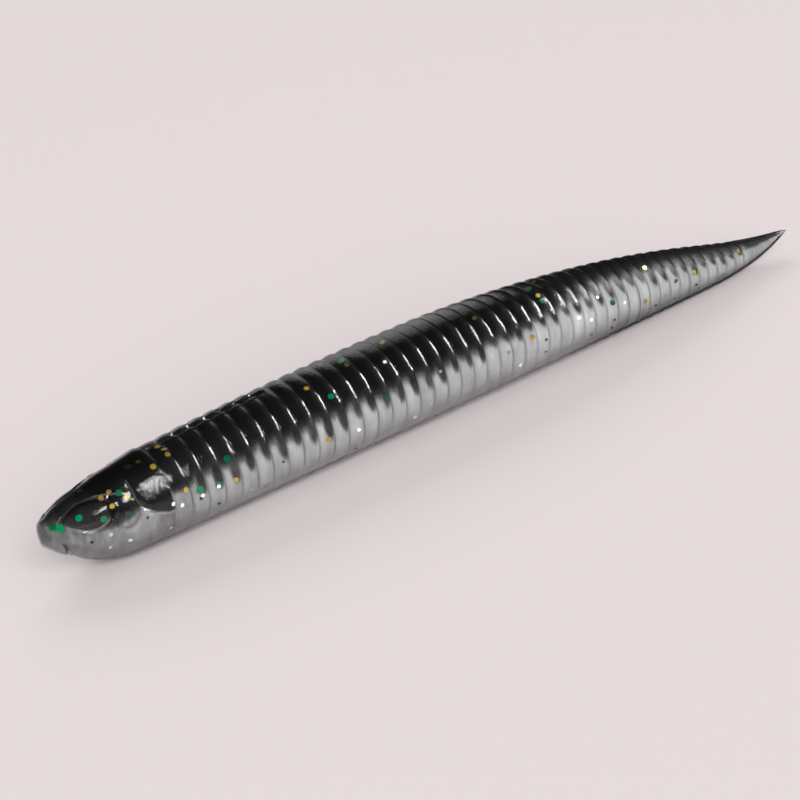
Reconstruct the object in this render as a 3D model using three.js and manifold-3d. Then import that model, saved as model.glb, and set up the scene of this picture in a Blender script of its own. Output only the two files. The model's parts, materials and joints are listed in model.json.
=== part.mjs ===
// A soft plastic fishing worm, 100 mm long, lying on a flat surface.
// +X runs from the nose to the tail, +Z is up, and y = 0 is the plane of symmetry. The belly rests on z = 0,
// and the origin is under the middle of the worm's length. The functions measure x from the nose, and the
// whole worm is moved forward at the end. It is moulded from two laminates: an opaque back over a clear belly.
// Both are divided at ring grooves into rigid lengths, and each length turns on the one in front of it
// through a dome that sits in a socket. The domes and sockets stand for the bending of the soft plastic.
import * as THREE from 'three';
import { mergeVertices } from 'three/addons/utils/BufferGeometryUtils.js';
import Module from 'manifold-3d';

const wasm = await Module();
wasm.setup();

// Driving dimensions, in millimetres unless the name says otherwise.
const WORM_LENGTH = 100;
const MAX_RADIUS = 5.13;
const THICKEST_X = 44;
const NOSE_RADIUS_LOSS = 1.25;
const NOSE_LENGTH = 14;
const NOSE_FLAT_RADIUS = 0.75;
const TAIL_TIP_RADIUS = 0.12;

// Each end of the outline is 1 - share^curve, raised to a power: more power makes a sharper end.
const NOSE_END = { curve: 2.2, power: 0.36 };
const TAIL_END = { curve: 1.85, power: 0.8 };

// Both ends lift off the ground: how far, from which x, and how sharply.
const SNOUT_LIFT = { height: 3.8, fromX: 8, power: 2 };
const TAIL_LIFT = { height: 2.5, fromX: 82, power: 3 };

const RING_PITCH = 1.76;
const FIRST_GROOVE_X = 13.2;
const GROOVE_DEPTH = 0.26;
const GROOVE_HALF_WIDTH = 0.32;
const RINGS_PER_LENGTH = 4;
const RING_LENGTH_COUNT = 10;
const TAIL_RING_COUNT = 2;

// Each turn is cut in equal steps. The step on either side of the lowest point makes the flat of the belly.
const AROUND = 24;
const ANGLE_STEP = (2 * Math.PI) / AROUND;

// A dome is smaller than the skin around it, and its socket is larger than the dome by the running gap.
const DOME_INSET = 0.8;
const SOCKET_GAP = 0.3;
const RIM_OFFSET = 0.9;
const SHOULDER_OFFSET = 1.15;
const DOME_STEPS = 4;

const EYE = { x: 3.9, angle: THREE.MathUtils.degToRad(53), halfLength: 2.2, halfHeight: 1.5, depth: 0.5 };
const EYEBALL_RADIUS = 1.15;
const EYEBALL_DEPTH = 1.1;
const GILL = { front: 8.2, crest: 10.9, rear: 11.9, height: 0.3, upper: 22, lower: 76, softening: 16 };
const MOUTH = { x: 1.5, height: 2.9, gape: 0.45, length: 3.2, halfWidth: 3, tilt: 0.5 };
const SLOT = { front: 11.6, rear: 24.6, width: 0.9, floor: 7.9 };

const jointPitch = RING_PITCH * RINGS_PER_LENGTH;
const firstJointX = FIRST_GROOVE_X + 2 * RING_PITCH;

const backMaterial = () => new THREE.MeshStandardMaterial({ color: 0x0c0c0d, roughness: 0.2, metalness: 0 });
const bellyMaterial = () => new THREE.MeshStandardMaterial({ color: 0x8d8a88, roughness: 0.28, metalness: 0 });

// Radius of the smooth body, before its rings are cut.
function bodyRadius(x) {
  if (x > THICKEST_X) {
    const share = (x - THICKEST_X) / (WORM_LENGTH - THICKEST_X);
    return MAX_RADIUS * Math.pow(1 - Math.pow(share, TAIL_END.curve), TAIL_END.power);
  }
  const taper = MAX_RADIUS - NOSE_RADIUS_LOSS * Math.pow((THICKEST_X - x) / THICKEST_X, 2);
  const fromNeck = Math.max(0, (NOSE_LENGTH - x) / NOSE_LENGTH);
  return taper * Math.pow(1 - Math.pow(fromNeck, NOSE_END.curve), NOSE_END.power);
}

// Height of the centre line: low enough to flatten the belly, and higher where an end lifts.
function centreHeight(x, radius = bodyRadius(x)) {
  const snout = Math.max(0, (SNOUT_LIFT.fromX - x) / SNOUT_LIFT.fromX);
  const tail = Math.max(0, (x - TAIL_LIFT.fromX) / (WORM_LENGTH - TAIL_LIFT.fromX));
  const lift = SNOUT_LIFT.height * snout ** SNOUT_LIFT.power + TAIL_LIFT.height * tail ** TAIL_LIFT.power;
  return radius * Math.cos(ANGLE_STEP) + lift;
}

// The raised gill plate on each side of the head: it rises towards the tail and then drops to the neck.
function gillHeight(x, angle) {
  const degrees = Math.abs(THREE.MathUtils.radToDeg(angle));
  const along = THREE.MathUtils.smoothstep(x, GILL.front, GILL.crest);
  const drop = 1 - THREE.MathUtils.smoothstep(x, GILL.crest, GILL.rear);
  const above = THREE.MathUtils.smoothstep(degrees, GILL.upper, GILL.upper + GILL.softening);
  const below = 1 - THREE.MathUtils.smoothstep(degrees, GILL.lower, GILL.lower + GILL.softening);
  return GILL.height * along * drop * above * below;
}

// A profile point: its place along the worm, its radius, and the height of the axis that it turns round.
const onSkin = (x, inset = 0) => ({ x, radius: bodyRadius(x) - inset, centre: centreHeight(x), skin: true });

// Skin points from one place to another, with every ring groove between them.
function ringedSkin(fromX, toX) {
  const points = [onSkin(fromX)];
  const lastGroove = Math.floor((toX - FIRST_GROOVE_X) / RING_PITCH);
  for (let i = 0; i <= lastGroove; i++) {
    const groove = FIRST_GROOVE_X + i * RING_PITCH;
    if (groove - GROOVE_HALF_WIDTH <= fromX || groove + GROOVE_HALF_WIDTH >= toX) continue;
    const depth = GROOVE_DEPTH * (bodyRadius(groove) / MAX_RADIUS);
    points.push(onSkin(groove - GROOVE_HALF_WIDTH), onSkin(groove, depth), onSkin(groove + GROOVE_HALF_WIDTH));
  }
  points.push(onSkin(toX));
  return points;
}

// The dome on the rear of a length: an arc centred on the joint, from the shoulder to the axis.
function domeArc(jointX) {
  const radius = bodyRadius(jointX) - DOME_INSET;
  const start = Math.acos(-SHOULDER_OFFSET / radius);
  return arcPoints(jointX, radius, start, 0);
}

// The socket in the front of a length: a concentric arc from the axis out to the rim.
function socketArc(jointX) {
  const radius = bodyRadius(jointX) - DOME_INSET + SOCKET_GAP;
  return arcPoints(jointX, radius, 0, Math.acos(RIM_OFFSET / radius));
}

function arcPoints(jointX, radius, fromAngle, toAngle) {
  const points = [];
  for (let i = 0; i <= DOME_STEPS; i++) {
    const angle = fromAngle + ((toAngle - fromAngle) * i) / DOME_STEPS;
    const across = Math.abs(angle) < 1e-9 ? 0 : radius * Math.sin(angle);
    points.push({ x: jointX + radius * Math.cos(angle), radius: across, centre: centreHeight(jointX) });
  }
  return points;
}

function headProfile() {
  const steps = 15;
  const smoothTo = FIRST_GROOVE_X - 2 * GROOVE_HALF_WIDTH;
  const noseHeight = centreHeight(0, NOSE_FLAT_RADIUS);
  const points = [
    { x: 0, radius: 0, centre: noseHeight },
    { x: 0, radius: NOSE_FLAT_RADIUS, centre: noseHeight },
  ];
  for (let i = 2; i < steps; i++) points.push(onSkin(smoothTo * (1 - Math.cos((Math.PI / 2) * (i / steps)))));
  return [...points, ...ringedSkin(smoothTo, firstJointX - SHOULDER_OFFSET), ...domeArc(firstJointX)];
}

function ringLengthProfile(jointX) {
  const nextJointX = jointX + jointPitch;
  const skin = ringedSkin(jointX + RIM_OFFSET, nextJointX - SHOULDER_OFFSET);
  return [...socketArc(jointX), ...skin, ...domeArc(nextJointX)];
}

function tailProfile(jointX) {
  const smoothFrom = jointX + TAIL_RING_COUNT * RING_PITCH + 2 * GROOVE_HALF_WIDTH;
  const points = [...socketArc(jointX), ...ringedSkin(jointX + RIM_OFFSET, smoothFrom)];
  const steps = 5;
  for (let i = 1; i < steps; i++) {
    points.push(onSkin(smoothFrom + (WORM_LENGTH - smoothFrom) * Math.sin((Math.PI / 2) * (i / steps))));
  }
  const tipHeight = centreHeight(WORM_LENGTH, TAIL_TIP_RADIUS);
  points.push({ x: WORM_LENGTH, radius: TAIL_TIP_RADIUS, centre: tipHeight });
  points.push({ x: WORM_LENGTH, radius: 0, centre: tipHeight });
  return points;
}

// One laminate of a length: the profile swept through half a turn and closed by a face on the centre line.
// The back spans -90 to 90 degrees from the top, and the belly spans 90 to 270.
function laminateGeometry(profile, startAngle) {
  const halfTurn = AROUND / 2;
  const positions = [];
  const rows = profile.map(({ x, radius, centre, skin }) => {
    const row = [];
    for (let j = 0; j <= halfTurn; j++) {
      if (radius === 0 && j > 0) {
        row.push(row[0]);
        continue;
      }
      const angle = startAngle + j * ANGLE_STEP;
      const reach = radius + (skin ? gillHeight(x, angle) : 0);
      row.push(positions.length / 3);
      positions.push(x, reach * Math.sin(angle), Math.max(0, centre + reach * Math.cos(angle)));
    }
    return row;
  });
  const triangles = [];
  const addTriangle = (a, b, c) => {
    if (a !== b && b !== c && c !== a) triangles.push(a, b, c);
  };
  for (let i = 0; i + 1 < rows.length; i++) {
    for (let j = 0; j < halfTurn; j++) {
      addTriangle(rows[i][j], rows[i + 1][j], rows[i + 1][j + 1]);
      addTriangle(rows[i][j], rows[i + 1][j + 1], rows[i][j + 1]);
    }
  }
  for (const [a, b, c] of bondFace(profile, rows, startAngle < 0)) addTriangle(a, b, c);
  const geometry = new THREE.BufferGeometry();
  geometry.setAttribute('position', new THREE.Float32BufferAttribute(positions, 3));
  geometry.setIndex(triangles);
  return geometry;
}

// The face where the two laminates are bonded: a patch round the socket, a strip across the worm between
// each two skin points, and a patch over the dome. Both laminates get the same triangles, facing opposite ways.
function bondFace(profile, rows, isBack) {
  const behindSocket = profile.findIndex(({ x, skin }) => skin && x > profile[0].x);
  const beforeDome = profile.findLastIndex(({ skin }) => skin) - 1;
  const triangles = patchAcross(profile, rows, 0, behindSocket, isBack);
  for (let i = behindSocket; i < beforeDome; i++) triangles.push(...patchAcross(profile, rows, i, i + 1, isBack));
  return [...triangles, ...patchAcross(profile, rows, beforeDome, profile.length - 1, isBack)];
}

// Triangles between two profile points, from the left edge of the bond to the right edge.
function patchAcross(profile, rows, from, to, isBack) {
  const last = rows[0].length - 1;
  const [rightColumn, leftColumn] = isBack ? [last, 0] : [0, last];
  const right = [];
  const left = [];
  for (let i = from; i <= to; i++) {
    const { x, radius } = profile[i];
    right.push({ x, y: radius, vertex: rows[i][rightColumn] });
    if (radius > 0) left.unshift({ x, y: -radius, vertex: rows[i][leftColumn] });
  }
  const outline = [...right, ...left];
  const contour = outline.map(({ x, y }) => new THREE.Vector2(x, y));
  return THREE.ShapeUtils.triangulateShape(contour, []).map((corners) => {
    const [a, b, c] = corners.map((i) => outline[i].vertex);
    return isBack ? [a, c, b] : [a, b, c];
  });
}

function toSolid(geometry) {
  const bare = geometry.clone();
  bare.deleteAttribute('normal');
  bare.deleteAttribute('uv');
  const merged = mergeVertices(bare, 1e-5);
  return new wasm.Manifold(
    new wasm.Mesh({
      numProp: 3,
      vertProperties: new Float32Array(merged.attributes.position.array),
      triVerts: new Uint32Array(merged.index.array),
    }),
  );
}

function toGeometry(solid) {
  const { vertProperties, triVerts } = solid.getMesh();
  const geometry = new THREE.BufferGeometry();
  geometry.setAttribute('position', new THREE.BufferAttribute(new Float32Array(vertProperties), 3));
  geometry.setIndex(new THREE.BufferAttribute(new Uint32Array(triVerts), 1));
  return geometry;
}

// A point at a depth below the skin of the head, on the given side of the worm.
function belowSkin(x, angle, depth, side) {
  const reach = bodyRadius(x) - depth;
  return new THREE.Vector3(x, side * reach * Math.sin(angle), centreHeight(x) + reach * Math.cos(angle));
}

// The eye is a shallow almond socket in the side of the head, with a round eyeball standing in it.
function addEye(headBack, side) {
  const socket = new THREE.SphereGeometry(1, 20, 12);
  socket.scale(EYE.halfLength, EYE.halfHeight, EYE.depth);
  socket.rotateX(-side * EYE.angle);
  const rim = belowSkin(EYE.x, EYE.angle, 0, side);
  socket.translate(rim.x, rim.y, rim.z);
  const eyeball = new THREE.SphereGeometry(EYEBALL_RADIUS, 20, 12);
  const seat = belowSkin(EYE.x + 0.2, EYE.angle, EYEBALL_DEPTH, side);
  eyeball.translate(seat.x, seat.y, seat.z);
  return headBack.subtract(toSolid(socket)).add(toSolid(eyeball));
}

// The mouth is a thin wedge cut up into the chin, leaning back from the lip.
function mouthCutter() {
  const outline = new THREE.Shape();
  outline.moveTo(0, 0);
  outline.lineTo(-MOUTH.gape / 2, -MOUTH.length);
  outline.lineTo(MOUTH.gape / 2, -MOUTH.length);
  outline.closePath();
  const wedge = new THREE.ExtrudeGeometry(outline, { depth: 2 * MOUTH.halfWidth, bevelEnabled: false });
  wedge.translate(0, 0, -MOUTH.halfWidth);
  wedge.rotateX(Math.PI / 2);
  wedge.rotateY(MOUTH.tilt);
  wedge.translate(MOUTH.x, 0, MOUTH.height);
  return toSolid(wedge);
}

// The hook slot is a narrow open channel along the top of the neck.
function slotCutter() {
  const height = 2 * MAX_RADIUS;
  const box = new THREE.BoxGeometry(SLOT.rear - SLOT.front, SLOT.width, height);
  box.translate((SLOT.front + SLOT.rear) / 2, 0, SLOT.floor + height / 2);
  return toSolid(box);
}

// A length of the worm as a group whose origin is its joint, holding its two laminates.
function makeLength(name, profile, jointX, finishBack = null, finishBelly = null) {
  const group = new THREE.Group();
  group.userData.joint = new THREE.Vector3(jointX, 0, jointX === 0 ? 0 : centreHeight(jointX));
  const laminates = [
    { part: 'back', start: -Math.PI / 2, material: backMaterial(), finish: finishBack },
    { part: 'belly', start: Math.PI / 2, material: bellyMaterial(), finish: finishBelly },
  ];
  for (const { part, start, material, finish } of laminates) {
    const plain = laminateGeometry(profile, start);
    const geometry = finish ? toGeometry(finish(toSolid(plain))) : plain;
    geometry.translate(-jointX, 0, -group.userData.joint.z);
    geometry.computeVertexNormals();
    const mesh = new THREE.Mesh(geometry, material);
    mesh.name = `${name}_${part}`;
    group.add(mesh);
  }
  return group;
}

// Each length hangs on the one in front of it, so its position is its joint measured from the joint before.
function chain(lengths) {
  for (let i = 0; i < lengths.length; i++) {
    const joint = lengths[i].userData.joint;
    lengths[i].position.copy(joint);
    if (i === 0) continue;
    lengths[i].position.sub(lengths[i - 1].userData.joint);
    lengths[i - 1].add(lengths[i]);
  }
  return lengths[0];
}

const cutSlot = (back) => back.subtract(slotCutter());
const finishHeadBack = (back) => addEye(addEye(cutSlot(back), 1), -1);
const cutMouth = (belly) => belly.subtract(mouthCutter());

const lengths = [makeLength('head', headProfile(), 0, finishHeadBack, cutMouth)];
for (let i = 0; i < RING_LENGTH_COUNT; i++) {
  const jointX = firstJointX + i * jointPitch;
  const name = `rings_${String(i + 1).padStart(2, '0')}`;
  lengths.push(makeLength(name, ringLengthProfile(jointX), jointX, jointX < SLOT.rear ? cutSlot : null));
}
const tailJointX = firstJointX + RING_LENGTH_COUNT * jointPitch;
lengths.push(makeLength('tail', tailProfile(tailJointX), tailJointX));

const worm = new THREE.Group();
worm.position.x = -WORM_LENGTH / 2;
worm.add(chain(lengths));

export default worm;
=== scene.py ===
"""A ringed soft plastic worm: a glossy black back moulded onto a clear grey belly, with glitter in both."""
import json
import math

import bpy
import numpy as np
from mathutils import Matrix, Vector

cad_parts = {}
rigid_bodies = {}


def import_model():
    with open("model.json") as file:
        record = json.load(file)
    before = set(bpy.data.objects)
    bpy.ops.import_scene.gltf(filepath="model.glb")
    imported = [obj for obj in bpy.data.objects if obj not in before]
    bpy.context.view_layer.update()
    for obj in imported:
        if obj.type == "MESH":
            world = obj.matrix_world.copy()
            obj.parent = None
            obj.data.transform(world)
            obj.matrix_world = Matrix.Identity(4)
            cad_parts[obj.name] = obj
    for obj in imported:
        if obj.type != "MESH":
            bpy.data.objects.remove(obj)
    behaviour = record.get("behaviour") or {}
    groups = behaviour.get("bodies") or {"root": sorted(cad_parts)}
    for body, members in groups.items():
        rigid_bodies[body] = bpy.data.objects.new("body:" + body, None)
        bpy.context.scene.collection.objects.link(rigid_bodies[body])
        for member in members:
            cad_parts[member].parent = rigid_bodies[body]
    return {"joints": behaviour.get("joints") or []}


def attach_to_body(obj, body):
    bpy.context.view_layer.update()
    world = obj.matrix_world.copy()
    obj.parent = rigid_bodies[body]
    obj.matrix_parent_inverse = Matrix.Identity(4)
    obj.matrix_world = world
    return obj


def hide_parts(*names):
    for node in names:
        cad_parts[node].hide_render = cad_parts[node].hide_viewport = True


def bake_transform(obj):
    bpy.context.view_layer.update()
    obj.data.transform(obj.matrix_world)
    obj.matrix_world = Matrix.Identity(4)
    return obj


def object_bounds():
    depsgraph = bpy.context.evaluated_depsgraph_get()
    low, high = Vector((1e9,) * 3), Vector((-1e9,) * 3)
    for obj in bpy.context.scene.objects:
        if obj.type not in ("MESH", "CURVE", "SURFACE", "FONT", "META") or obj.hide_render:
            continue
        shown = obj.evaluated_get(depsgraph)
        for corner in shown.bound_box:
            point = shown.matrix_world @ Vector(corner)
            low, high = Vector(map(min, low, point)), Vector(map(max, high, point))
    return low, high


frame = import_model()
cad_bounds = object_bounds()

# ---------------------------------------------------------------- driving dimensions
# The worm is worked out in millimetres and degrees, and in_frame() turns its points into metres in the CAD's
# frame. x is the distance from the nose, and "around" is the angle from the top of the back: 90 at the side.
MM = 0.001
RNG = np.random.default_rng(7)

NOSE_X = cad_bounds[0].x / MM
WORM_LENGTH = cad_bounds[1].x / MM - NOSE_X
JOINTS_X = [joint["pos_m"][0] / MM - NOSE_X for joint in frame["joints"]]
BODY_NAMES = [frame["joints"][0]["parent"]] + [joint["child"] for joint in frame["joints"]]
JOINT_PITCH = JOINTS_X[1] - JOINTS_X[0]
RINGS_PER_BEND = 4
RING_PITCH = JOINT_PITCH / RINGS_PER_BEND
FIRST_GROOVE_X = JOINTS_X[0] - JOINT_PITCH / 2
LAST_GROOVE_X = JOINTS_X[-1] + JOINT_PITCH / 2
RING_COUNT = round((LAST_GROOVE_X - FIRST_GROOVE_X) / RING_PITCH)

MAX_RADIUS, MIN_RADIUS = 5.13, 0.02
THICKEST_X = 44
NOSE_LENGTH, NOSE_RADIUS_LOSS = 14, 1.25
NOSE_CURVE, NOSE_POWER = 2.2, 0.36
TAIL_CURVE, TAIL_POWER = 1.85, 0.8
SNOUT_LIFT, SNOUT_LIFT_END = 3.8, 8
TAIL_LIFT, TAIL_LIFT_START = 2.5, 82
BELLY_FLAT_ANGLE = 15
SKIN_DEPTH = 0.26

# The crest and the shoulder of a ring are shares of its length. The last three are shares of the full height.
RING_HEIGHT = 0.36
RING_CREST, RING_SHOULDER = 0.86, 0.68
RING_RAMP_POWER, RING_FALL_POWER = 1.6, 3.5
GROOVE_FADE = 0.12
FULL_RINGS_START, FULL_RINGS_END = 34, 70
NECK_RINGS, TAIL_RINGS, BELLY_RINGS = 0.45, 0.5, 0.35

SLOT_FRONT, SLOT_REAR = 11.9, 24.4
SLOT_HALF_WIDTH, SLOT_DEPTH = 0.36, 1.5
SLOT_LIP_HEIGHT, SLOT_LIP_WIDTH = 0.1, 0.2

EYE_X, EYE_AROUND = 3.7, 51
EYE_HALF_LENGTH, EYE_HALF_HEIGHT, EYE_POINT_TAPER = 2.15, 1.5, 0.45
EYE_BULGE, EYE_GROOVE, EYE_RIM = 0.26, 0.2, 0.09
CHEEK_X, CHEEK_AROUND = 7.0, 60
CHEEK_HALF_LENGTH, CHEEK_HALF_HEIGHT = 1.3, 1.9
CHEEK_BULGE, CHEEK_GROOVE = 0.22, 0.07
BROW_HEIGHT, BROW_HALF_WIDTH = 0.1, 4
CROWN_SWELL, SNOUT_DIP, NOSE_DIP = 0.33, 0.45, 0.3
GILL_FRONT, GILL_REAR, GILL_SLANT = 8.2, 11.3, 1.4
GILL_FRONT_STEP, GILL_REAR_RISE, GILL_DISH = 0.08, 0.16, 0.1
GILL_RIM, GILL_GROOVE, GILL_CREASE = 0.06, 0.18, 0.06
MOUTH_DEPTH, CHIN_SETBACK = 0.4, 0.16

COLUMNS, HEAD_COLUMNS = 120, 200
ROWS_PER_RING, HEAD_ROWS, TAIL_ROWS = 13, 220, 34
HEAD_ROW_CROWDING = 1.8
MIN_COLUMN_GAP = 1


# ---------------------------------------------------------------- curves
def smoothstep(low, high, value):
    """0 at low and 1 at high, with a smooth slope between them. Low may be the larger of the two."""
    t = np.clip((value - low) / (high - low), 0, 1)
    return t * t * (3 - 2 * t)


def ease(value, low, high, start, end):
    """Goes smoothly from start, where the value is low, to end, where it is high."""
    return start + (end - start) * smoothstep(low, high, value)


def span(value, rise, fall):
    """1 between two soft edges and 0 outside them. Each edge is given as the two ends of its slope."""
    return smoothstep(*rise, value) * (1 - smoothstep(*fall, value))


def bump(value, centre, width):
    """1 at the centre, falling away evenly on both sides."""
    return np.exp(-(((value - centre) / width) ** 2))


def dome(distance):
    """1 in the middle and 0 from a distance of 1 outwards."""
    return np.clip(1 - distance**2, 0, None)


def profile_at(place, profile):
    """Reads a list of (place, value) pairs, with straight lines between them."""
    places, values = zip(*profile)
    return np.interp(place, places, values)


def angle_from_top(angle):
    return np.abs(np.mod(angle + 180, 360) - 180)


# ---------------------------------------------------------------- the shape of the worm
def smooth_radius(x):
    """Radius before rings and head details."""
    rear = np.clip((x - THICKEST_X) / (WORM_LENGTH - THICKEST_X), 0, 1)
    rear_radius = MAX_RADIUS * (1 - rear**TAIL_CURVE) ** TAIL_POWER
    taper = MAX_RADIUS - NOSE_RADIUS_LOSS * (np.clip(THICKEST_X - x, 0, None) / THICKEST_X) ** 2
    from_neck = np.clip((NOSE_LENGTH - x) / NOSE_LENGTH, 0, 1)
    front_radius = taper * (1 - from_neck**NOSE_CURVE) ** NOSE_POWER
    return np.where(x > THICKEST_X, rear_radius, front_radius)


def skin_arc(x, degrees):
    """The length over the skin of a turn of so many degrees."""
    return smooth_radius(x) * np.radians(degrees)


def centre_height(x):
    """Height of the worm's middle above the floor. The belly is pressed flat, and both tips lift off."""
    snout = np.clip((SNOUT_LIFT_END - x) / SNOUT_LIFT_END, 0, 1)
    tail = np.clip((x - TAIL_LIFT_START) / (WORM_LENGTH - TAIL_LIFT_START), 0, 1)
    flattened = smooth_radius(x) * math.cos(math.radians(BELLY_FLAT_ANGLE))
    return flattened + SNOUT_LIFT * snout**2 + TAIL_LIFT * tail**3


def ring_strength(x, around):
    """Rings are deepest in the middle of the worm, and shallower at the neck, the tail and on the belly."""
    neck = ease(x, FIRST_GROOVE_X, FULL_RINGS_START, NECK_RINGS, 1)
    tail = ease(x, FULL_RINGS_END, LAST_GROOVE_X, 1, TAIL_RINGS)
    return neck * tail * ease(around, 85, 140, 1, BELLY_RINGS)


def ring_relief(x, around):
    """Depth below the smooth radius: each ring ramps up towards the tail, then drops into a groove."""
    nearest = np.clip(x, FIRST_GROOVE_X, LAST_GROOVE_X)
    phase = np.mod((nearest - FIRST_GROOVE_X) / RING_PITCH, 1.0)
    ramp = 1 - np.clip(1 - phase / RING_CREST, 0, 1) ** RING_RAMP_POWER
    fall = 1 - np.clip((phase - RING_SHOULDER) / (1 - RING_SHOULDER), 0, 1) ** RING_FALL_POWER
    beyond = np.exp(-np.abs(x - nearest) / GROOVE_FADE)
    return RING_HEIGHT * ring_strength(nearest, around) * (1 - ramp * fall) * beyond


def slot_relief(x, around):
    """Depth of the hook slot: a narrow channel along the top of the neck, with rounded raised lips."""
    along = span(x, (SLOT_FRONT - 0.3, SLOT_FRONT + 0.6), (SLOT_REAR - 0.6, SLOT_REAR + 0.3))
    across = skin_arc(x, around)
    channel = 1 - smoothstep(SLOT_HALF_WIDTH * 0.72, SLOT_HALF_WIDTH * 1.15, across)
    lips = SLOT_LIP_HEIGHT * bump(across, SLOT_HALF_WIDTH * 1.6, SLOT_LIP_WIDTH)
    return along * (SLOT_DEPTH * channel - lips)


def eye_distance(x, around):
    """0 at the middle of the eye and 1 on its rim, which is an almond with its point at the front."""
    along = (x - EYE_X) / EYE_HALF_LENGTH
    up = skin_arc(x, around - EYE_AROUND) / EYE_HALF_HEIGHT
    taper = 1 - EYE_POINT_TAPER * np.clip(-along, 0, 1) ** 1.5
    return np.sqrt(along**2 + (up / taper) ** 2)


def eye_relief(x, around):
    """A bulging eye in a groove, with a raised rim round it."""
    eye = eye_distance(x, around)
    return EYE_BULGE * dome(eye / 0.95) + EYE_RIM * bump(eye, 1.14, 0.1) - EYE_GROOVE * bump(eye, 1, 0.06)


def cheek_relief(x, around):
    """A low dome behind the eye, in a shallow groove."""
    along = (x - CHEEK_X) / CHEEK_HALF_LENGTH
    up = skin_arc(x, around - CHEEK_AROUND) / CHEEK_HALF_HEIGHT
    cheek = np.sqrt(along**2 + up**2)
    return CHEEK_BULGE * dome(cheek) - CHEEK_GROOVE * bump(cheek, 1.04, 0.09)


def brow_line(x):
    """The brow runs from above the eye down to the gill plate."""
    return ease(x, 4.2, 8.6, 22, 48)


def brow_relief(x, around):
    return BROW_HEIGHT * bump(around, brow_line(x), BROW_HALF_WIDTH) * span(x, (3.8, 5.5), (8.0, 8.9))


def crown_relief(x, around):
    """Turns the round top of the snout into a straight slope."""
    crown = CROWN_SWELL * bump(x, 6.9, 2.1) - SNOUT_DIP * bump(x, 1.4, 1.9) - NOSE_DIP * bump(x, 0.4, 0.8)
    return crown * (1 - smoothstep(30, 80, around))


def gill_front(around):
    """The front edge slants back towards the belly."""
    return GILL_FRONT + GILL_SLANT * smoothstep(50, 88, around) ** 2


def gill_low_edge(x):
    """How far down the gill plate reaches: it ends in a point low at the rear."""
    return ease(x, 8.8, 11.0, 83, 93)


def gill_relief(x, around):
    """A raised, slightly dished plate with a grooved, slanting front edge and a step down to the neck."""
    front = gill_front(around)
    low_edge = gill_low_edge(x)
    rise = np.clip((x - front) / (GILL_REAR - front), 0, 1)
    step = GILL_FRONT_STEP * smoothstep(0, 0.12, rise) * smoothstep(20, 36, around)
    dish = GILL_DISH * bump(around, 57, 14) * smoothstep(0, 0.3, rise)
    plate = step + GILL_REAR_RISE * rise**0.8 - dish
    ahead_of_rear = 1 - smoothstep(GILL_REAR - 0.08, GILL_REAR + 0.14, x)
    above_low_edge = 1 - smoothstep(low_edge - 2, low_edge + 2, around)
    rim = GILL_RIM * bump(around, low_edge + 2.6, 1.5) * smoothstep(front - 0.2, front + 0.4, x)
    groove = GILL_GROOVE * bump(x, front - 0.13, 0.13) * span(around, (22, 34), (84, 92))
    crease = GILL_CREASE * bump(x, GILL_REAR + 0.25, 0.1)
    return (plate * above_low_edge + rim) * ahead_of_rear - groove - crease


def mouth_relief(x, around):
    """Depth of a slit under the snout that ends in a corner low on each side, and of the chin behind it."""
    line = ease(around, 112, 150, 1.3, 1.8)
    slit = MOUTH_DEPTH * bump(x, line, 0.12)
    chin = CHIN_SETBACK * bump(x, line + 0.55, 0.45)
    return (slit + chin) * smoothstep(106, 120, around)


def head_relief(x, around):
    """Height of the moulded head details above the smooth head."""
    height = eye_relief(x, around) + cheek_relief(x, around) + brow_relief(x, around)
    height = height + crown_relief(x, around) + gill_relief(x, around) - mouth_relief(x, around)
    return height * smoothstep(0.1, 1.0, x)


def surface(x, angle, inset=0.0):
    """Points on the worm, or on an inner layer set in from it, at an angle from the top of the back."""
    x, angle = np.broadcast_arrays(np.asarray(x, float), np.asarray(angle, float))
    around = angle_from_top(angle)
    depth = ring_relief(x, around) + slot_relief(x, around) + inset
    radius = smooth_radius(x) - depth + np.where(x < FIRST_GROOVE_X, head_relief(x, around), 0)
    radius = np.clip(radius, MIN_RADIUS, None)
    turn = np.radians(angle)
    flat_belly = inset / 2
    height = np.clip(centre_height(x) + radius * np.cos(turn), flat_belly, None)
    return np.stack([x, radius * np.sin(turn), height], -1)


# ---------------------------------------------------------------- where the black dye is
# How far down the black reaches on the body and on the face, as (x, around) pairs.
BODY_DYE_EDGE = [
    (13, 71), (30, 72), (46, 71), (52, 68), (57, 63), (63, 50), (68, 41), (74, 44), (80, 54), (92, 55),
]
FACE_DYE_EDGE = [(0, 84), (2, 82), (3.5, 86), (5.4, 82), (6.6, 78), (8.4, 70), (12, 75)]
BODY_EDGE_SOFTNESS, GILL_EDGE_SOFTNESS = 16, 4
FACE_EDGE_SOFTNESS, SNOUT_EDGE_SOFTNESS = 12, 30

# How far the finger of dye on each ring runs down from that edge, as (ring, degrees) pairs. Chance varies it.
FINGER_PROFILE = [(0, 26), (14, 24), (20, 12), (25, 18), (30, 38), (36, 32), (44, 20)]
FINGER_VARIATION = (0.6, 1.05)
FINGER_LENGTHS = RNG.uniform(*FINGER_VARIATION, RING_COUNT)
FINGER_LENGTHS = FINGER_LENGTHS * profile_at(np.arange(RING_COUNT), FINGER_PROFILE)
FINGER_TIP, FINGER_ROUNDING = 0.7, 9
FINGER_STRENGTH, FINGER_STRENGTH_SWING = 0.82, 0.11

# Grey smoke below the edge of the black and at the neck. It is also painted shade: it darkens the top of the
# belly and the underside of the head.
EDGE_HAZE_AND_SHADE, HAZE_AND_SHADE_REACH = 0.19, 55
NECK_HAZE_AND_SHADE, SNOUT_HAZE = 0.12, 0.13
MAX_SNOUT_THINNING, TAIL_THINNING = 0.6, 0.22
# How strongly the painted edge highlights on the head thin the dye.
EDGE_HIGHLIGHT_PAINT = 0.75


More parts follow.
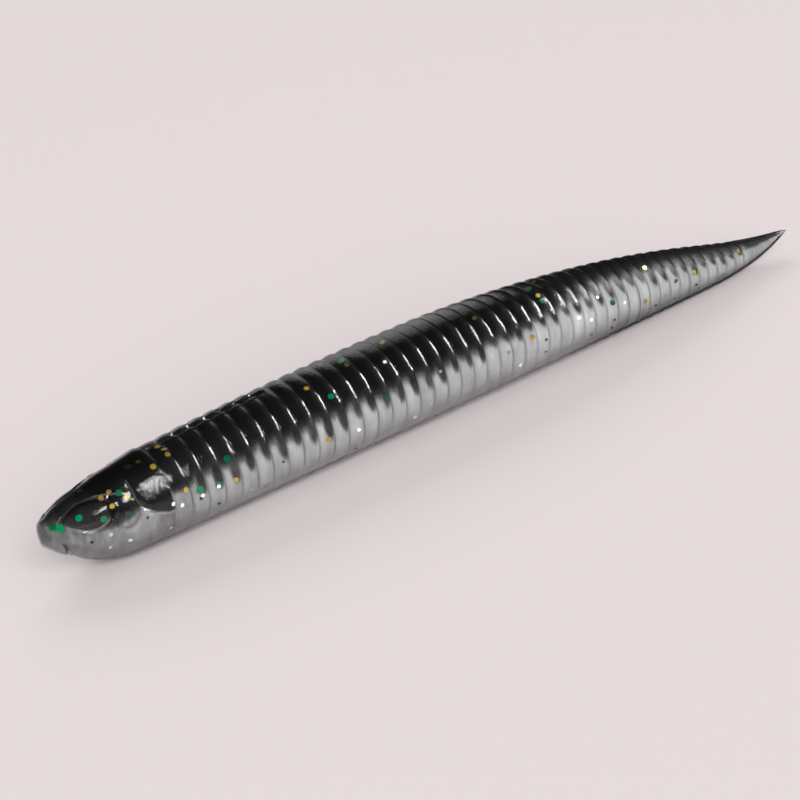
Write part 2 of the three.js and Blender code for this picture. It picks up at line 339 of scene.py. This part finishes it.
def head_dye_edge(x, around):
    """How far down the black reaches on the head, and how soft its edge is. It is firm on the gill plate."""
    on_gill = (x > gill_front(around)) & (x < GILL_REAR)
    edge = np.where(on_gill, gill_low_edge(x) - 1, profile_at(x, FACE_DYE_EDGE))
    face_softness = ease(x, 6, 0, FACE_EDGE_SOFTNESS, SNOUT_EDGE_SOFTNESS)
    return edge, np.where(on_gill, GILL_EDGE_SOFTNESS, face_softness)


def body_dye_edge(x):
    """The edge on the body wavers a little from ring to ring."""
    return profile_at(x, BODY_DYE_EDGE) + 2.2 * np.sin(1.1 * x) + 1.8 * np.sin(2.9 * x + 1)


def dye_fingers(x, around):
    """Rounded fingers of dye that run down the rear half of each ring, each to its own length."""
    rings_back = np.clip((x - FIRST_GROOVE_X) / RING_PITCH, 0, RING_COUNT - 0.001)
    ring = np.floor(rings_back).astype(int)
    phase = rings_back - ring
    rounding = FINGER_ROUNDING * ((phase - FINGER_TIP) / (1 - FINGER_TIP)) ** 2
    reach = body_dye_edge(x) + FINGER_LENGTHS[ring] - rounding
    strength = FINGER_STRENGTH + FINGER_STRENGTH_SWING * np.sin(2.4 * ring)
    return strength * span(phase, (0.2, 0.6), (0.86, 1.0)) * (1 - smoothstep(reach - 10, reach + 8, around))


def painted_edge_highlights(x, around):
    """Painted highlights on the head: pale lines along its moulded edges, where light catches them, made by
    thinning the dye.
    """
    eye_rim = bump(eye_distance(x, around), 1.03, 0.055)
    eye_rim = eye_rim * smoothstep(46, 56, around) * smoothstep(6.0, 5.2, x)
    brow = bump(around, brow_line(x), 1.6) * span(x, (4.6, 5.2), (7.6, 8.0))
    gill_rim = bump(around, gill_low_edge(x) + 1.5, 1.6)
    gill_rim = gill_rim * span(x, (GILL_FRONT + 0.5, GILL_FRONT + 0.9), (GILL_REAR, GILL_REAR + 0.1))
    rear_rim = bump(x, GILL_REAR + 0.12, 0.09) * span(around, (64, 74), (104, 118))
    front_rim = bump(x, gill_front(around) + 0.04, 0.07) * span(around, (25, 29), (64, 74))
    return np.clip(eye_rim + 0.8 * (brow + rear_rim + front_rim) + gill_rim, 0, 1)


def snout_thinning(x, around):
    """The dye thins out over the snout, most of all on its sides and at its tip, and less in the eye."""
    sides = 0.45 * smoothstep(6.5, 0.6, x) * smoothstep(24, 50, around)
    tip = 0.3 * smoothstep(2.2, 0.2, x)
    whole = 0.2 * smoothstep(6.5, 3.0, x)
    in_eye = smoothstep(1.0, 0.85, eye_distance(x, around))
    return np.clip((sides + tip + whole) * (1 - 0.6 * in_eye), 0, MAX_SNOUT_THINNING)


def haze_and_painted_shade(x, around, edge):
    """Faint smoke in the clear plastisol below the edge of the black, thicker at the neck and the snout.
    Below the edge it is also painted shade on the top of the belly, and at the neck painted shade under the
    head.
    """
    below_edge = EDGE_HAZE_AND_SHADE * (1 - smoothstep(edge, edge + HAZE_AND_SHADE_REACH, around))
    return below_edge + NECK_HAZE_AND_SHADE * smoothstep(17, 12, x) + SNOUT_HAZE * smoothstep(5.0, 1.5, x)


def dye_and_painted_light(x, around):
    """How black the plastisol is: 1 on the back and 0 on the belly.
    Painted shade and painted highlights are in it too.
    """
    on_head = x < FIRST_GROOVE_X
    head_edge, head_softness = head_dye_edge(x, around)
    edge = np.where(on_head, head_edge, body_dye_edge(x))
    softness = np.where(on_head, head_softness, BODY_EDGE_SOFTNESS)
    black = 1 - smoothstep(edge - softness, edge + softness, around)
    black = np.maximum(black, np.where(on_head, 0, dye_fingers(x, around)))
    black = black * (1 - snout_thinning(x, around)) * ease(x, 62, 92, 1, 1 - TAIL_THINNING)
    # Painted highlights: pale lines along the moulded edges of the head.
    pale = np.where(on_head, painted_edge_highlights(x, around), 0)
    return np.maximum(black, haze_and_painted_shade(x, around, edge)) * (1 - EDGE_HIGHLIGHT_PAINT * pale)


# ---------------------------------------------------------------- meshes
def ring_rows(first_x, last_x):
    """Places along the worm, closer together near each groove."""
    rings = round((last_x - first_x) / RING_PITCH)
    step = (1 - np.cos(np.pi * np.arange(ROWS_PER_RING) / ROWS_PER_RING)) / 2
    rows = [first_x + (ring + step) * RING_PITCH for ring in range(rings)]
    return np.append(np.concatenate(rows), last_x)


def head_rows():
    """Places along the head, closer together near the nose."""
    return FIRST_GROOVE_X * np.linspace(1 / HEAD_ROWS, 1, HEAD_ROWS) ** HEAD_ROW_CROWDING


def tail_rows():
    """Places along the tail, closer together near its tip, where the last row is small enough to close it."""
    turn = np.linspace(0, 0.999, TAIL_ROWS)
    return LAST_GROOVE_X + (WORM_LENGTH - LAST_GROOVE_X) * np.sin(turn * np.pi / 2)


def column_angles(start, end, columns):
    """Angles from the top of the back, closer together near the hook slot. columns is for a full turn."""
    share = np.linspace(-1, 1, columns + 1)
    angles = 180 * (0.5 * share + 0.5 * share**3)
    if end > 180:
        angles = np.sort(np.mod(angles[:-1], 360))
    inside = angles[(angles > start + MIN_COLUMN_GAP) & (angles < end - MIN_COLUMN_GAP)]
    return np.concatenate([[start], inside, [end]])


def in_frame(points):
    """Points measured in millimetres from the nose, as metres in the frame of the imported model."""
    return ((points + np.array([NOSE_X, 0, 0])) * MM).tolist()


def add_object(name, data):
    """A new object in the scene. With no data it is an empty."""
    added = bpy.data.objects.new(name, data)
    bpy.context.collection.objects.link(added)
    return added


def mesh_object(name, points, faces, materials):
    """A new mesh object, from points in millimetres from the nose."""
    mesh = bpy.data.meshes.new(name)
    mesh.from_pydata(in_frame(points), [], faces)
    for material in materials:
        mesh.materials.append(material)
    return add_object(name, mesh)


def add_attribute(mesh, name, kind, field, values):
    """Stores a value on each point of a mesh."""
    attribute = mesh.attributes.new(name, kind, "POINT")
    attribute.data.foreach_set(field, np.asarray(values, np.float32).ravel())


def keep_sharp(mesh, points):
    """Keeps the edges that join two of the numbered points sharp."""
    ends = np.empty(len(mesh.edges) * 2, np.int32)
    mesh.edges.foreach_get("vertices", ends)
    sharp = mesh.attributes.new("sharp_edge", "BOOLEAN", "EDGE")
    sharp.data.foreach_set("value", np.isin(ends.reshape(-1, 2), points).all(1))


def wall_faces(row_count, column_count):
    """The faces between each row of points and the next, right round each row."""
    faces = []
    for row in range(row_count - 1):
        here, ahead = row * column_count, (row + 1) * column_count
        for column in range(column_count):
            after = (column + 1) % column_count
            faces.append((ahead + column, ahead + after, here + after, here + column))
    return faces


# The material slots of each stretch.
SHOWN, UNSEEN = 0, 1


def tube_piece(name, rows, angles, inset, material, sharp_columns=()):
    """One closed stretch of the worm. Its ends are unseen discs, except at the nose and at the tail's tip."""
    count = len(angles)
    points = surface(rows[:, None], angles[None, :], inset).reshape(-1, 3)
    faces = wall_faces(len(rows), count)
    slots = [SHOWN] * len(faces)
    sharp = [row * count + column for row in range(len(rows)) for column in sharp_columns]
    for row, is_tip in ((0, rows[0] < 1), (len(rows) - 1, rows[-1] > WORM_LENGTH - 1)):
        ring = list(range(row * count, (row + 1) * count))
        faces.append(ring[::-1] if row else ring)
        slots.append(SHOWN if is_tip else UNSEEN)
        sharp += [] if is_tip else ring
    piece = mesh_object(name, points, faces, [material, unseen])
    piece.data.polygons.foreach_set("use_smooth", [True] * len(faces))
    piece.data.polygons.foreach_set("material_index", slots)
    keep_sharp(piece.data, sharp)
    # The materials read these, so that their patterns stay on the plastic when it bends.
    around = angle_from_top(np.tile(angles, len(rows)))
    add_attribute(piece.data, "rest", "FLOAT_VECTOR", "vector", points)
    # The dye attribute also carries painted shade and painted highlights.
    add_attribute(piece.data, "dye", "FLOAT", "value", dye_and_painted_light(points[:, 0], around))
    return piece


def skin_piece(name, rows, columns):
    """The clear outer surface of one stretch, right round the worm."""
    return tube_piece(name, rows, column_angles(-180, 180, columns)[:-1], 0, clear_skin)


def laminate_piece(name, rows, columns, start, end, material):
    """One laminate under the skin: part of a turn, closed by the flat face that bonds it to the other one."""
    angles = column_angles(start, end, columns)
    return tube_piece(name, rows, angles, SKIN_DEPTH, material, sharp_columns=(0, len(angles) - 1))


# ---------------------------------------------------------------- glitter
FLAKE_KINDS = {
    "green": {"size": 0.38, "color": (0.0, 0.36, 0.14), "count": 24, "spread": (0, 95)},
    "gold": {"size": 0.28, "color": (0.75, 0.52, 0.06), "count": 38, "spread": (0, 100)},
    "silver": {"size": 0.2, "color": (0.95, 0.95, 0.95), "count": 52, "spread": (60, 180)},
    "pepper": {"size": 0.15, "color": (0.01, 0.01, 0.01), "count": 26, "spread": (60, 180)},
}
FLAKE_SIDES = 6
FLAKE_THICKNESS = 0.02
FLAKE_SIZE_RANGE, FLAKE_SHADE_RANGE = (0.85, 1.1), (0.3, 1.5)
FLAKE_TILT = 0.16
# A painted glint: each flake is darker at its corners and brighter at one point near its middle, whitened on
# bright flakes.
RIM_SHADE, PAINTED_GLINT_SHADE, PAINTED_GLINT_OFFSET = 0.7, 2.0, 0.35
PAINTED_GLINT_WHITE, PAINTED_GLINT_WHITE_FROM = 0.3, 0.6
SCATTER_START, SCATTER_LENGTH, SCATTER_CROWDING = 2, 90, 1.15
SCATTER_ON_RING = 0.15
NEAR_SIDE, NEAR_FLAKES_END = -1, 14

# Flakes that stand out in the photo, as (kind, x, around, brightness). Up to NEAR_FLAKES_END there are no others
# on the near side. Silver flakes with a brightness well above 1 are painted sparkles, brighter than white.
NEAR_FLAKES = [
    ("green", 0.9, 53, 1.3), ("green", 1.3, 64, 1.5), ("green", 3.0, 52, 1.5), ("green", 4.9, 64, 0.9),
    ("green", 7.0, 70, 0.25), ("green", 7.0, 40, 0.8), ("green", 9.2, 12, 0.35), ("gold", 5.5, 34, 0.7),
    ("gold", 6.0, 51, 1.4), ("gold", 7.5, 49, 1.4), ("gold", 6.4, 31, 1.2), ("gold", 10.9, 33, 0.9),
    ("gold", 10.2, 14, 0.3), ("gold", 12.6, 8, 0.9), ("gold", 12.9, 16, 1.3), ("gold", 12.8, 26, 0.8),
    ("gold", 12.7, 76, 1.6), ("silver", 11.1, 84, 4), ("silver", 12.0, 92, 3), ("silver", 13.4, 92, 3),
    ("silver", 4.9, 114, 3), ("silver", 6.7, 108, 3), ("silver", 10.7, 118, 3), ("silver", 5.1, 90, 1.2),
    ("silver", 16.5, 90, 3), ("silver", 31.3, 100, 4), ("silver", 36.3, 38, 3), ("silver", 38.5, 120, 4),
    ("silver", 52.3, 112, 4), ("silver", 61.1, 80, 3), ("silver", 62.7, 90, 3), ("silver", 68.3, 84, 3),
    ("pepper", 8.6, 86, 1), ("pepper", 3.4, 100, 1),
]


def flake_frame(x, angle, depth):
    """A point under the skin, and the directions along, across and out of the skin there."""
    step, turn = 0.3, 3
    centre = surface(x, angle, depth)
    along = surface(x + step, angle, depth) - surface(x - step, angle, depth)
    across = surface(x, angle + turn, depth) - surface(x, angle - turn, depth)
    along = along / np.linalg.norm(along)
    outward = np.cross(across, along)
    outward = outward / np.linalg.norm(outward)
    return centre, along, np.cross(outward, along), outward


def scatter_flakes():
    """Every flake on the worm as (kind, x, angle, brightness)."""
    flakes = [(kind, x, NEAR_SIDE * angle, shade) for kind, x, angle, shade in NEAR_FLAKES]
    for kind, look in FLAKE_KINDS.items():
        for _ in range(look["count"]):
            side = RNG.choice([-1, 1])
            x = SCATTER_START + SCATTER_LENGTH * RNG.uniform() ** SCATTER_CROWDING
            angle = side * RNG.uniform(*look["spread"])
            shade = RNG.uniform(*FLAKE_SHADE_RANGE)
            if side != NEAR_SIDE or x > NEAR_FLAKES_END:
                flakes.append((kind, x, angle, shade))
    return flakes


def settle_on_ring(x):
    """Moves a flake to the broad part of its ring, clear of the grooves."""
    if not FIRST_GROOVE_X < x < LAST_GROOVE_X:
        return x
    ring = math.floor((x - FIRST_GROOVE_X) / RING_PITCH)
    return FIRST_GROOVE_X + (ring + 0.5) * RING_PITCH + RNG.uniform(-SCATTER_ON_RING, SCATTER_ON_RING)


def flake_plate(kind, x, angle, shade):
    """One hexagonal plate just under the skin: its points, faces and colors. A painted glint, a brighter color
    at one point near its middle, lights the top of it.
    """
    x = settle_on_ring(x)
    size = FLAKE_KINDS[kind]["size"] * RNG.uniform(*FLAKE_SIZE_RANGE)
    color = shade * np.array(FLAKE_KINDS[kind]["color"])
    centre, along, across, outward = flake_frame(x, angle, SKIN_DEPTH / 2)
    tilt = RNG.normal(0, FLAKE_TILT, 2)
    along = along + tilt[0] * outward
    across = across + tilt[1] * outward
    corner_turn = 2 * math.pi / FLAKE_SIDES
    first_bearing = RNG.uniform(0, corner_turn)
    points = []
    for level in (-0.5, 0.5):
        for corner in range(FLAKE_SIDES):
            bearing = first_bearing + corner * corner_turn
            flat = size * (math.cos(bearing) * along + math.sin(bearing) * across)
            points.append(centre + flat + level * FLAKE_THICKNESS * outward)
    glint = RNG.uniform(-PAINTED_GLINT_OFFSET, PAINTED_GLINT_OFFSET, 2) * size
    points.append(centre + glint[0] * along + glint[1] * across + FLAKE_THICKNESS * outward)
    white = 0 if kind == "pepper" else PAINTED_GLINT_WHITE * max(shade - PAINTED_GLINT_WHITE_FROM, 0)
    colors = [[*(RIM_SHADE * color), 1]] * (2 * FLAKE_SIDES) + [[*(PAINTED_GLINT_SHADE * color + white), 1]]
    return points, plate_faces(), colors


def plate_faces():
    """The faces of one flake: its bottom, then its top as a fan round the painted glint point, then its sides.
    """
    pairs = [(i, (i + 1) % FLAKE_SIDES) for i in range(FLAKE_SIDES)]
    bottom = tuple(reversed(range(FLAKE_SIDES)))
    top = [(FLAKE_SIDES + here, FLAKE_SIDES + after, 2 * FLAKE_SIDES) for here, after in pairs]
    sides = [(here, after, FLAKE_SIDES + after, FLAKE_SIDES + here) for here, after in pairs]
    return [bottom, *top, *sides]


def glitter_piece(name, flakes):
    """All the flakes of one stretch as one object."""
    points, faces, colors = [], [], []
    for flake in flakes:
        own_points, own_faces, own_colors = flake_plate(*flake)
        faces += [tuple(len(points) + i for i in face) for face in own_faces]
        points += own_points
        colors += own_colors
    piece = mesh_object(name, np.array(points), faces, [glitter_film])
    add_attribute(piece.data, "paint", "FLOAT_COLOR", "color", colors)
    return piece


# ---------------------------------------------------------------- materials
class NodeGraph:
    """The nodes of one material or of the world, with short ways to add to them."""

    def __init__(self, owner):
        owner.use_nodes = True
        self.nodes, self.links = owner.node_tree.nodes, owner.node_tree.links
        self.nodes.clear()

    def add(self, kind, inputs=None, **settings):
        """A new node. Each input is set to a value, or linked if it is given another node's output."""
        node = self.nodes.new("ShaderNode" + kind)
        for name, setting in settings.items():
            setattr(node, name, setting)
        for name, value in (inputs or {}).items():
            if isinstance(value, bpy.types.NodeSocket):
                self.links.new(value, node.inputs[name])
            else:
                node.inputs[name].default_value = value
        return node

    def attribute(self, name, output):
        return self.add("Attribute", attribute_name=name).outputs[output]

    def math(self, operation, first, second):
        return self.add("Math", {0: first, 1: second}, operation=operation).outputs[0]

    def noise(self, vector, scale, detail):
        return self.add("TexNoise", {"Vector": vector, "Scale": scale, "Detail": detail}).outputs[0]

    def eased(self, value, source, target):
        """Turns the source range into the target range, with a smooth slope."""
        ranges = {"From Min": source[0], "From Max": source[1], "To Min": target[0], "To Max": target[1]}
        return self.add("MapRange", {"Value": value, **ranges}, interpolation_type="SMOOTHSTEP").outputs[0]

    def ramp(self, factor, stops):
        """A color for each value of the factor, from (position, color) stops."""
        node = self.add("ValToRGB", {0: factor})
        elements = node.color_ramp.elements
        while len(elements) < len(stops):
            elements.new(0.5)
        for element, (position, color) in zip(elements, stops):
            element.position = position
            element.color = (*color, 1)
        return node.outputs[0]

    def mix(self, factor, first, second):
        """The first shader where the factor is 0, and the second where it is 1."""
        return self.add("MixShader", {0: factor, 1: first, 2: second}).outputs[0]


def new_material(name):
    material = bpy.data.materials.new(name)
    return material, NodeGraph(material)


# Noise scales are in cells a millimetre. The pattern is stretched round the worm, as the dye ran down it.
STREAK_SCALE, CLOUD_SCALE = 2.2, 0.9
STREAK_STRETCH = (1.0, 0.3, 0.3)
STREAK_STRENGTH = 2.0
DYE_COLORS = [
    (0.0, (0.74, 0.765, 0.77)), (0.25, (0.42, 0.425, 0.425)), (0.5, (0.14, 0.14, 0.14)),
    (0.75, (0.035, 0.034, 0.034)), (1.0, (0.006, 0.006, 0.0065)),
]
CLOUD_SHADES = [(0.3, (0.72, 0.72, 0.72)), (0.7, (1.0, 1.0, 1.0))]
CLEAR_GLOW = 0.1

SKIN_IOR = 1.5
FINE_RIPPLE_SCALE, BROAD_RIPPLE_SCALE = 7.0, 1.2
RIPPLE_DEPTH, RIPPLE_STRENGTH = 0.05 * MM, 0.35
SKIN_ROUGHNESS = (0.05, 0.2)
DULL_TAIL_X, DULL_TAIL_ROUGHNESS = (56.0, 70.0), 0.22
DARK_TAIL_X, DARK_TAIL_SHEEN = (58.0, 70.0), 0.25


def plastisol_material(name):
    """Dyed plastisol under the skin: black where the dye is full, cloudy grey where there is none."""
    material, graph = new_material(name)
    rest = graph.attribute("rest", "Vector")
    # The dye value also carries painted shade and painted highlights.
    dye = graph.attribute("dye", "Fac")
    drawn_out = graph.add("VectorMath", {0: rest, 1: STREAK_STRETCH}, operation="MULTIPLY").outputs[0]
    streaks = graph.math("SUBTRACT", graph.noise(drawn_out, STREAK_SCALE, 4.0), 0.5)
    clouds = graph.ramp(graph.noise(drawn_out, CLOUD_SCALE, 5.0), CLOUD_SHADES)
    # Streaks show only where the dye is neither full nor absent.
    half_dyed = graph.math("MULTIPLY", dye, graph.math("SUBTRACT", 1, dye))
    streaked = graph.math("MULTIPLY", half_dyed, graph.math("MULTIPLY", streaks, STREAK_STRENGTH))
    streaked_dye_and_painted_light = graph.math("ADD", dye, streaked)
    clouded = {"Factor": 1.0, "A": graph.ramp(streaked_dye_and_painted_light, DYE_COLORS), "B": clouds}
    color = graph.add("Mix", clouded, data_type="RGBA", blend_type="MULTIPLY").outputs["Result"]
    solid = graph.add("BsdfPrincipled", {"Base Color": color, "Roughness": 0.6, "Specular IOR Level": 0.1})
    glow = graph.add("BsdfTranslucent", {"Color": color})
    glow_share = graph.eased(streaked_dye_and_painted_light, (0.0, 0.6), (CLEAR_GLOW, 0.0))
    mix = graph.mix(glow_share, solid.outputs[0], glow.outputs[0])
    graph.add("OutputMaterial", {"Surface": mix})
    return material


def clear_skin_material():
    """The wet-looking clear surface. Its reflection grows towards the edges, and is weaker at the tail."""
    material, graph = new_material("clear_plastisol_skin")
    rest = graph.attribute("rest", "Vector")
    x = graph.add("SeparateXYZ", {0: rest}).outputs["X"]
    fine = graph.noise(rest, FINE_RIPPLE_SCALE, 5.0)
    broad = graph.noise(rest, BROAD_RIPPLE_SCALE, 2.0)
    height = graph.math("ADD", fine, graph.math("MULTIPLY", broad, 1.5))
    bump_inputs = {"Strength": RIPPLE_STRENGTH, "Distance": RIPPLE_DEPTH, "Height": height}
    ripple = graph.add("Bump", bump_inputs).outputs[0]
    low, high = SKIN_ROUGHNESS
    roughness = graph.add("MapRange", {"Value": fine, "To Min": low, "To Max": high}).outputs[0]
    dullness = graph.eased(x, DULL_TAIL_X, (0.0, DULL_TAIL_ROUGHNESS))
    gloss = graph.add("BsdfGlossy", {
        "Color": graph.eased(x, DARK_TAIL_X, (1.0, DARK_TAIL_SHEEN)),
        "Roughness": graph.math("ADD", roughness, dullness),
        "Normal": ripple,
    })
    clear = graph.add("BsdfTransparent", {"Color": (0.97, 0.97, 0.97, 1)})
    fresnel = graph.add("Fresnel", {"IOR": SKIN_IOR, "Normal": ripple})
    mix = graph.mix(fresnel.outputs[0], clear.outputs[0], gloss.outputs[0])
    graph.add("OutputMaterial", {"Surface": mix})
    return material


def unseen_material():
    """For the end discs inside the worm, which light passes straight through."""
    material, graph = new_material("unseen_end")
    graph.add("OutputMaterial", {"Surface": graph.add("BsdfTransparent").outputs[0]})
    return material


def principled_material(name, color, inputs):
    """A single Principled shader. The color is a fixed one, or the name of an attribute that holds it."""
    material, graph = new_material(name)
    base_color = graph.attribute(color, "Color") if isinstance(color, str) else color
    shader = graph.add("BsdfPrincipled", {"Base Color": base_color, **inputs})
    graph.add("OutputMaterial", {"Surface": shader.outputs[0]})
    return material


unseen = unseen_material()
back_plastisol = plastisol_material("back_plastisol_dyed")
belly_plastisol = plastisol_material("belly_plastisol_cloudy")
clear_skin = clear_skin_material()
glitter_film = principled_material("glitter_film", "paint", {"Metallic": 0.3, "Roughness": 0.3})


# ---------------------------------------------------------------- the stretches of the worm
def make_stretches():
    """The head, a stretch over each joint, and the tail. All but the last bend stand for one body's nodes."""
    head = {
        "name": "head", "from": 0, "to": FIRST_GROOVE_X, "rows": head_rows(), "columns": HEAD_COLUMNS,
        "bodies": BODY_NAMES[:1], "stands_for": BODY_NAMES[0],
    }
    tail = {
        "name": "tail", "from": LAST_GROOVE_X, "to": WORM_LENGTH, "rows": tail_rows(), "columns": COLUMNS,
        "bodies": BODY_NAMES[-1:], "stands_for": BODY_NAMES[-1],
    }
    bends = []
    for i, joint_x in enumerate(JOINTS_X):
        start, end = joint_x - JOINT_PITCH / 2, joint_x + JOINT_PITCH / 2
        ahead, behind = BODY_NAMES[i:i + 2]
        bends.append({
            "name": f"bend_{i + 1:02d}", "from": start, "to": end,
            "rows": ring_rows(start, end), "columns": COLUMNS,
            "bodies": [ahead, behind], "stands_for": None if behind == tail["stands_for"] else behind,
        })
    return [head, *bends, tail]


def attach(piece, stretch, laminate=None):
    """Fixes a piece to its body, or bakes its place into its mesh if it lies over a joint between two bodies."""
    if len(stretch["bodies"]) == 1:
        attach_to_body(piece, stretch["bodies"][0])
    else:
        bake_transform(piece)
    if laminate and stretch["stands_for"]:
        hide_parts(f"{stretch['stands_for']}_{laminate}")


def build_stretch(stretch, flakes):
    """The two laminates, the skin and the glitter of one stretch."""
    name, rows, columns = stretch["name"], stretch["rows"], stretch["columns"]
    back = laminate_piece(f"{name}_back_laminate", rows, columns, -90, 90, back_plastisol)
    belly = laminate_piece(f"{name}_belly_laminate", rows, columns, 90, 270, belly_plastisol)
    skin = skin_piece(f"{name}_clear_skin", rows, columns)
    attach(back, stretch, "back")
    attach(belly, stretch, "belly")
    attach(skin, stretch)
    own_flakes = [flake for flake in flakes if stretch["from"] <= flake[1] < stretch["to"]]
    if own_flakes:
        attach(glitter_piece(f"{name}_glitter", own_flakes), stretch)


def build_worm():
    flakes = scatter_flakes()
    for stretch in make_stretches():
        build_stretch(stretch, flakes)


# ---------------------------------------------------------------- floor, light and camera, in metres
CAMERA_TARGET = Vector((NOSE_X + 40.2, 0, 2.7)) * MM
CAMERA_DISTANCE = 0.1626
CAMERA_AZIMUTH, CAMERA_ELEVATION, CAMERA_ROLL = 55.58, 23.2, -8.86
CAMERA_LENS = 72
CAMERA_CLIP_START = 0.005
FLOOR_HALF_WIDTH = 3.0
FLOOR_GAP = 0.02 * MM
FLOOR_COLOR = (0.75, 0.69, 0.695, 1)
BACKDROP_COLOR = (0.776, 0.701, 0.708, 1)
AMBIENT_COLOR, AMBIENT_STRENGTH = (1.0, 0.95, 0.955, 1), 0.42
ROOM_COLOR = (1.0, 0.96, 0.96, 1)
ROOM_HORIZON, ROOM_STRENGTH = (0.0, 0.22), (0.6, 0.03)
SCREEN_SPREAD = 80


def belly_markers():
    """An empty on the belly at the rear end of each body, which moves with that body."""
    markers = []
    for body, x in zip(BODY_NAMES, JOINTS_X + [WORM_LENGTH]):
        marker = add_object(f"{body}_belly_marker", None)
        marker.location = in_frame(surface(x, 180))
        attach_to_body(marker, body)
        markers.append(marker)
    return markers


def add_floor():
    """A wide floor just under the belly. Where the worm bends down past it, the floor drops to stay below."""
    mesh = bpy.data.meshes.new("floor")
    side = FLOOR_HALF_WIDTH
    corners = [(-side, -side, 0), (side, -side, 0), (side, side, 0), (-side, side, 0)]
    mesh.from_pydata(corners, [], [(0, 1, 2, 3)])
    finish = {"Roughness": 0.7, "Specular IOR Level": 0.0}
    mesh.materials.append(principled_material("pale_floor", FLOOR_COLOR, finish))
    floor = add_object("floor", mesh)
    floor.location.z = -FLOOR_GAP
    for marker in belly_markers():
        below = floor.constraints.new("FLOOR")
        below.target = marker
        below.floor_location = "FLOOR_NEGATIVE_Z"
        below.offset = -FLOOR_GAP


def placed(right, up, back, place):
    """The matrix of an object with these three axes at this place."""
    return Matrix([(*right, 0), (*up, 0), (*back, 0), (*place, 1)]).transposed()


def add_panel(name, direction, along, target, distance, size, radiance):
    """A flat light that faces its target, with its long side running along the given direction."""
    data = bpy.data.lights.new(name, "AREA")
    data.shape = "RECTANGLE"
    data.size, data.size_y = size
    data.energy = radiance * math.pi * size[0] * size[1]
    away = Vector(direction).normalized()
    short = away.cross(Vector(along)).normalized()
    light = add_object(name, data)
    light.matrix_world = placed(short.cross(away), short, away, target + away * distance)
    return light


def add_room_lights():
    """Two big soft lights, the stronger behind the camera. Neither shows in the glossy skin."""
    lights = (
        add_panel("softbox", direction=(-0.3, -0.83, 0.47), along=(1, 0, 0), target=CAMERA_TARGET,
                  distance=6.0, size=(7.0, 4.5), radiance=4.5),
        add_panel("back_fill", direction=(0.3, 0.8, 0.52), along=(1, 0, 0), target=CAMERA_TARGET,
                  distance=6.0, size=(5.0, 3.0), radiance=3.0),
    )
    for light in lights:
        light.visible_glossy = False


def add_glints():
    """Three lights that show only in the glossy skin.

    The strip draws the line of light down the rings, the key the one on the gill plate, and the screen the
    sheen on top of the middle rings.
    """
    gill = Vector((NOSE_X + 10, -3.5, 6.5)) * MM
    middle = Vector((NOSE_X + 48, 0, 8)) * MM
    strip = add_panel("strip", direction=(0.56, -0.5, 0.66), along=(0, -0.9, -0.4), target=CAMERA_TARGET,
                      distance=1.0, size=(0.6, 0.13), radiance=60)
    key = add_panel("key", direction=(-0.02, -0.71, 0.7), along=(1, 0, 0), target=gill,
                    distance=0.018, size=(0.0045, 0.005), radiance=24)
    screen = add_panel("screen", direction=(0.17, 0.7, 0.62), along=(0, -0.66, 0.75), target=middle,
                       distance=0.05, size=(0.065, 0.034), radiance=0.3)
    screen.data.spread = math.radians(SCREEN_SPREAD)
    for light in (strip, key, screen):
        light.visible_diffuse = False
        light.visible_camera = False


def add_world():
    """Even pale light all round, and a pale backdrop. Reflections see a dark room with a pale horizon."""
    world = bpy.data.worlds.new("studio")
    bpy.context.scene.world = world
    graph = NodeGraph(world)
    ambient = graph.add("Background", {"Color": AMBIENT_COLOR, "Strength": AMBIENT_STRENGTH})
    backdrop = graph.add("Background", {"Color": BACKDROP_COLOR})
    direction = graph.add("SeparateXYZ", {0: graph.add("TexCoord").outputs["Generated"]})
    room_strength = graph.eased(direction.outputs["Z"], ROOM_HORIZON, ROOM_STRENGTH)
    room = graph.add("Background", {"Color": ROOM_COLOR, "Strength": room_strength})
    rays = graph.add("LightPath").outputs
    reflected = graph.mix(rays["Is Glossy Ray"], ambient.outputs[0], room.outputs[0])
    seen = graph.mix(rays["Is Camera Ray"], reflected, backdrop.outputs[0])
    graph.add("OutputWorld", {"Surface": seen})


def add_camera():
    """The photo's view: down on the near side from beyond the nose, with the camera rolled a little."""
    azimuth, elevation, roll = map(math.radians, (CAMERA_AZIMUTH, CAMERA_ELEVATION, CAMERA_ROLL))
    ground = math.cos(elevation)
    forward = Vector((ground * math.cos(azimuth), ground * math.sin(azimuth), -math.sin(elevation)))
    level = forward.cross(Vector((0, 0, 1))).normalized()
    right = level * math.cos(roll) + level.cross(forward) * math.sin(roll)
    data = bpy.data.cameras.new("camera")
    data.lens = CAMERA_LENS
    data.clip_start = CAMERA_CLIP_START
    camera = add_object("camera", data)
    place = CAMERA_TARGET - forward * CAMERA_DISTANCE
    camera.matrix_world = placed(right, right.cross(forward), -forward, place)
    bpy.context.scene.camera = camera


build_worm()
add_floor()
add_world()
add_room_lights()
add_glints()
add_camera()
bpy.context.scene.view_settings.view_transform = "Standard"
